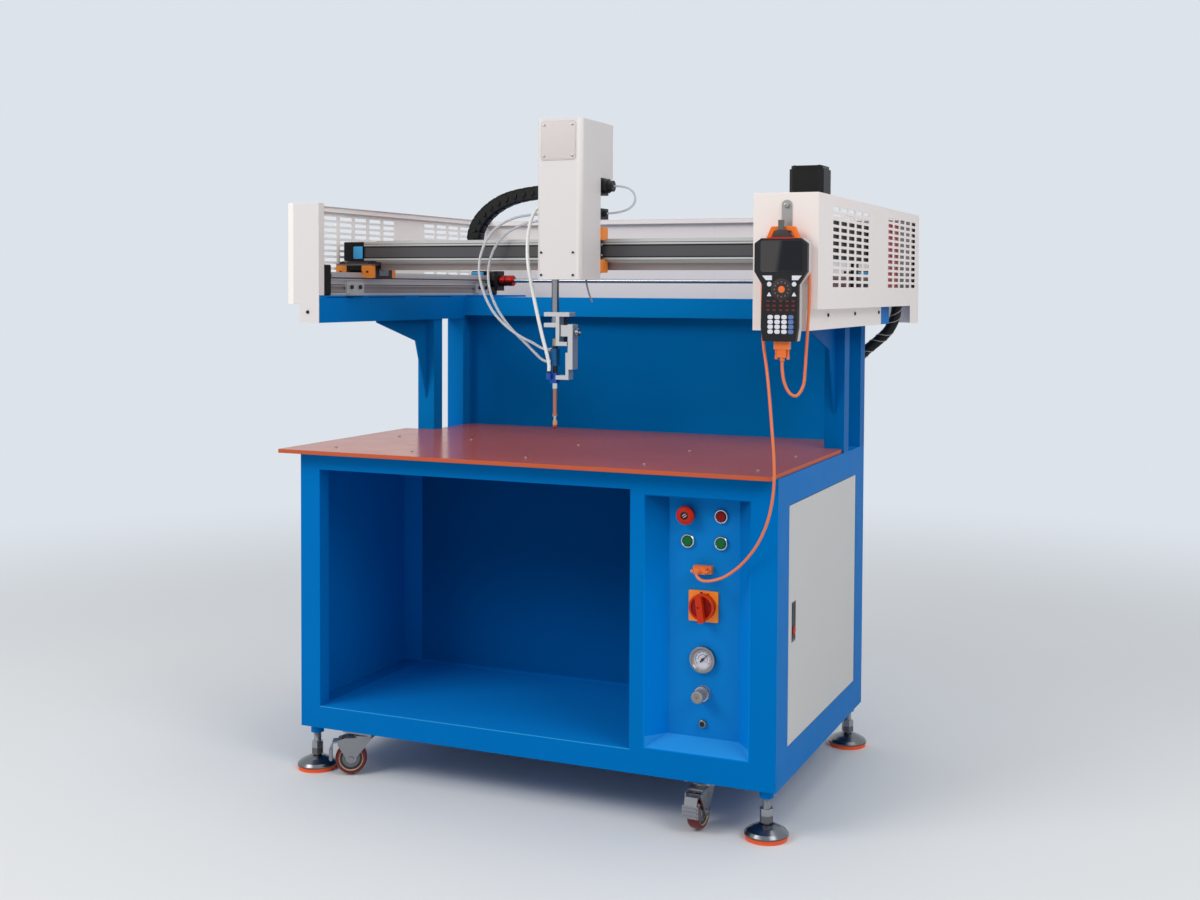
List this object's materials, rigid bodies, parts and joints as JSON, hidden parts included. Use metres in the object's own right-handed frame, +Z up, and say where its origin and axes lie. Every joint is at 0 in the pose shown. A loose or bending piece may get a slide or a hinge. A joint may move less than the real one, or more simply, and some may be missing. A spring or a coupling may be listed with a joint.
{
  "type": "cabinet glue dispensing machine",
  "caption": "Blue welded cabinet with a glossy work table, a gantry that carries a dispensing head, a control panel, a hand pendant, castors and levelling feet.",
  "frame": {"origin": "on the floor, under the middle of the machine's outline without its cables", "axes": "+X to the operator's right, +Y to the back, +Z up"},
  "size_m": [1.2676, 1.0208, 1.496],
  "materials": {
    "cabinet_blue": "textured powder coat",
    "panel_blue": "textured powder coat",
    "frame_blue": "textured powder coat",
    "table_laminate": "polished",
    "cover_paint": "fine powder coat",
    "door_paint": "fine powder coat",
    "module_aluminium": "clear anodised",
    "bracket_aluminium": "clear anodised",
    "drive_black": "satin",
    "carriage_black": "black anodised",
    "wiper_orange": "moulded",
    "box_red": "satin",
    "conduit_black": "matt",
    "chain_black": "moulded",
    "caster_steel": "zinc plated",
    "wheel_tyre": "smooth",
    "foot_chrome": "polished",
    "fitting_chrome": "polished",
    "rod_chrome": "ground",
    "hook_steel": "brushed",
    "shaft_steel": "ground",
    "knob_steel": "knurled",
    "knob_brass": "nickel plated",
    "nozzle_copper": "satin",
    "switch_orange": "moulded",
    "switch_red": "moulded",
    "stop_red": "moulded",
    "button_red": "moulded",
    "button_green": "moulded",
    "regulator_grey": "moulded",
    "needle_black": "matt",
    "pendant_black": "moulded",
    "plug_orange": "moulded",
    "cable_orange": "satin",
    "handle_black": "moulded",
    "hose_clear": "clear",
    "hose_white": "milky",
    "valve_blue": "blue anodised"
  },
  "bodies": {
    "base": {"cabinet": "cabinet_blue", "control_panel": "panel_blue", "tabletop": "table_laminate", "gantry_frame": "frame_blue", "left_cover": "cover_paint", "right_cover": "cover_paint", "y_modules": "module_aluminium", "y_drive_ends": "drive_black", "junction_box": "box_red", "conduit": "conduit_black", "caster_plates": "caster_steel", "panel_fittings": "fitting_chrome", "switch_plate": "switch_orange", "pendant_hook": "hook_steel", "pendant": "pendant_black", "cable_plugs": "plug_orange", "pendant_cable": "cable_orange"},
    "bridge": {"y_carriages": "carriage_black", "y_wipers": "wiper_orange", "x_module": "module_aluminium", "x_drive": "drive_black"},
    "head": {"x_carriage": "carriage_black", "x_wipers": "wiper_orange", "head_cover": "cover_paint", "drag_chain": "chain_black", "loop_tube": "hose_clear", "air_hose_a": "hose_clear", "air_hose_b": "hose_clear", "glue_hose": "hose_white"},
    "lift": {"lift_rod": "rod_chrome", "lift_bracket": "bracket_aluminium"},
    "fine": {"fine_slide": "bracket_aluminium", "valve": "valve_blue", "nozzle": "nozzle_copper"},
    "fine_lock": {"fine_knob": "knob_steel"},
    "stroke_adjuster": {"stroke_knob": "knob_brass"},
    "link_shaft": {"sync_shaft": "shaft_steel"},
    "door": {"side_door": "door_paint"},
    "door_lever": {"door_handle": "handle_black"},
    "estop": {"estop_button": "stop_red"},
    "stop_key": {"stop_button": "button_red"},
    "start_key": {"start_button": "button_green"},
    "reset_key": {"reset_button": "button_green"},
    "main_switch": {"switch_knob": "switch_red"},
    "regulator": {"regulator_knob": "regulator_grey"},
    "needle": {"gauge_needle": "needle_black"},
    "leg_fl": {"foot_fl": "foot_chrome"},
    "leg_fr": {"foot_fr": "foot_chrome"},
    "leg_rl": {"foot_rl": "foot_chrome"},
    "leg_rr": {"foot_rr": "foot_chrome"},
    "caster_fl": {"fork_fl": "caster_steel"},
    "roller_fl": {"wheel_fl": "wheel_tyre"},
    "brake_fl": {"pedal_fl": "caster_steel"},
    "caster_fr": {"fork_fr": "caster_steel"},
    "roller_fr": {"wheel_fr": "wheel_tyre"},
    "brake_fr": {"pedal_fr": "caster_steel"},
    "caster_rl": {"fork_rl": "caster_steel"},
    "roller_rl": {"wheel_rl": "wheel_tyre"},
    "caster_rr": {"fork_rr": "caster_steel"},
    "roller_rr": {"wheel_rr": "wheel_tyre"}
  },
  "joints": [
    {"name": "y_travel", "type": "slide", "parent": "base", "child": "bridge", "axis": [0, 1, 0], "range_m": [-0.13, 0.5]},
    {"name": "x_travel", "type": "slide", "parent": "bridge", "child": "head", "axis": [1, 0, 0], "range_m": [-0.28, 0.3], "deforming": ["drag_chain"]},
    {"name": "z_travel", "type": "slide", "parent": "head", "child": "lift", "axis": [0, 0, 1], "range_m": [-0.045, 0.065], "deforming": ["glue_hose", "air_hose_a", "air_hose_b"]},
    {"name": "fine_height", "type": "slide", "parent": "lift", "child": "fine", "axis": [0, 0, 1], "range_m": [-0.01, 0.009]},
    {"name": "fine_lock_turn", "type": "hinge", "parent": "fine", "child": "fine_lock", "pos_m": [0.05275, -0.34475, 1.028], "axis": [1, 0, 0], "continuous": true},
    {"name": "stroke_turn", "type": "hinge", "parent": "fine", "child": "stroke_adjuster", "pos_m": [-0.00125, -0.34475, 1.005], "axis": [0, 0, 1], "continuous": true},
    {"name": "link_shaft_turn", "type": "hinge", "parent": "base", "child": "link_shaft", "pos_m": [-0.02075, 0.37325, 1.146], "axis": [1, 0, 0], "continuous": true},
    {"name": "door_swing", "type": "hinge", "parent": "base", "child": "door", "pos_m": [0.55025, 0.17375, 0.427], "axis": [0, 0, 1], "range_deg": [0, 95]},
    {"name": "door_lever_pull", "type": "hinge", "parent": "door", "child": "door_lever", "pos_m": [0.55025, -0.34775, 0.3965], "axis": [0, 1, 0], "range_deg": [0, 60]},
    {"name": "estop_push", "type": "slide", "parent": "base", "child": "estop", "axis": [0, 1, 0], "range_m": [0, 0.0035]},
    {"name": "stop_push", "type": "slide", "parent": "base", "child": "stop_key", "axis": [0, 1, 0], "range_m": [0, 0.003], "stiffness_N_per_m": 600},
    {"name": "start_push", "type": "slide", "parent": "base", "child": "start_key", "axis": [0, 1, 0], "range_m": [0, 0.003], "stiffness_N_per_m": 600},
    {"name": "reset_push", "type": "slide", "parent": "base", "child": "reset_key", "axis": [0, 1, 0], "range_m": [0, 0.003], "stiffness_N_per_m": 600},
    {"name": "switch_turn", "type": "hinge", "parent": "base", "child": "main_switch", "pos_m": [0.38125, -0.42675, 0.462], "axis": [0, 1, 0], "range_deg": [0, 90]},
    {"name": "regulator_turn", "type": "hinge", "parent": "base", "child": "regulator", "pos_m": [0.38125, -0.43675, 0.278], "axis": [0, 1, 0], "continuous": true},
    {"name": "needle_turn", "type": "hinge", "parent": "base", "child": "needle", "pos_m": [0.38125, -0.42375, 0.35], "axis": [0, 1, 0], "range_deg": [-45, 180], "stiffness_Nm_per_rad": 0.02},
    {"name": "leg_fl_turn", "type": "hinge", "parent": "base", "child": "leg_fl", "pos_m": [-0.56975, -0.43875, 0.053], "axis": [0, 0, 1], "continuous": true},
    {"name": "leg_fr_turn", "type": "hinge", "parent": "base", "child": "leg_fr", "pos_m": [0.52825, -0.43875, 0.053], "axis": [0, 0, 1], "continuous": true},
    {"name": "leg_rl_turn", "type": "hinge", "parent": "base", "child": "leg_rl", "pos_m": [-0.56975, 0.23125, 0.053], "axis": [0, 0, 1], "continuous": true},
    {"name": "leg_rr_turn", "type": "hinge", "parent": "base", "child": "leg_rr", "pos_m": [0.52825, 0.23125, 0.053], "axis": [0, 0, 1], "continuous": true},
    {"name": "caster_fl_swivel", "type": "hinge", "parent": "base", "child": "caster_fl", "pos_m": [-0.44475, -0.43275, 0.091], "axis": [0, 0, 1], "continuous": true},
    {"name": "wheel_fl_roll", "type": "hinge", "parent": "caster_fl", "child": "roller_fl", "pos_m": [-0.47073, -0.44775, 0.039], "axis": [-0.5, 0.866, 0], "continuous": true},
    {"name": "brake_fl_press", "type": "hinge", "parent": "caster_fl", "child": "brake_fl", "pos_m": [-0.49152, -0.45975, 0.077], "axis": [0.5, -0.866, 0], "range_deg": [0, 8]},
    {"name": "caster_fr_swivel", "type": "hinge", "parent": "base", "child": "caster_fr", "pos_m": [0.38525, -0.41975, 0.091], "axis": [0, 0, 1], "continuous": true},
    {"name": "wheel_fr_roll", "type": "hinge", "parent": "caster_fr", "child": "roller_fr", "pos_m": [0.3842, -0.44973, 0.039], "axis": [-0.9994, 0.0349, 0], "continuous": true},
    {"name": "brake_fr_press", "type": "hinge", "parent": "caster_fr", "child": "brake_fr", "pos_m": [0.38337, -0.47372, 0.077], "axis": [0.9994, -0.0349, 0], "range_deg": [0, 8]},
    {"name": "caster_rl_swivel", "type": "hinge", "parent": "base", "child": "caster_rl", "pos_m": [-0.44475, 0.21225, 0.091], "axis": [0, 0, 1], "continuous": true},
    {"name": "wheel_rl_roll", "type": "hinge", "parent": "caster_rl", "child": "roller_rl", "pos_m": [-0.47475, 0.21225, 0.039], "axis": [0, 1, 0], "continuous": true},
    {"name": "caster_rr_swivel", "type": "hinge", "parent": "base", "child": "caster_rr", "pos_m": [0.38525, 0.21225, 0.091], "axis": [0, 0, 1], "continuous": true},
    {"name": "wheel_rr_roll", "type": "hinge", "parent": "caster_rr", "child": "roller_rr", "pos_m": [0.35706, 0.20199, 0.039], "axis": [-0.342, 0.9397, 0], "continuous": true}
  ],
  "couplings": [
    {"joint": "link_shaft_turn", "follows": "y_travel", "rad_per_m": -50}
  ]
}
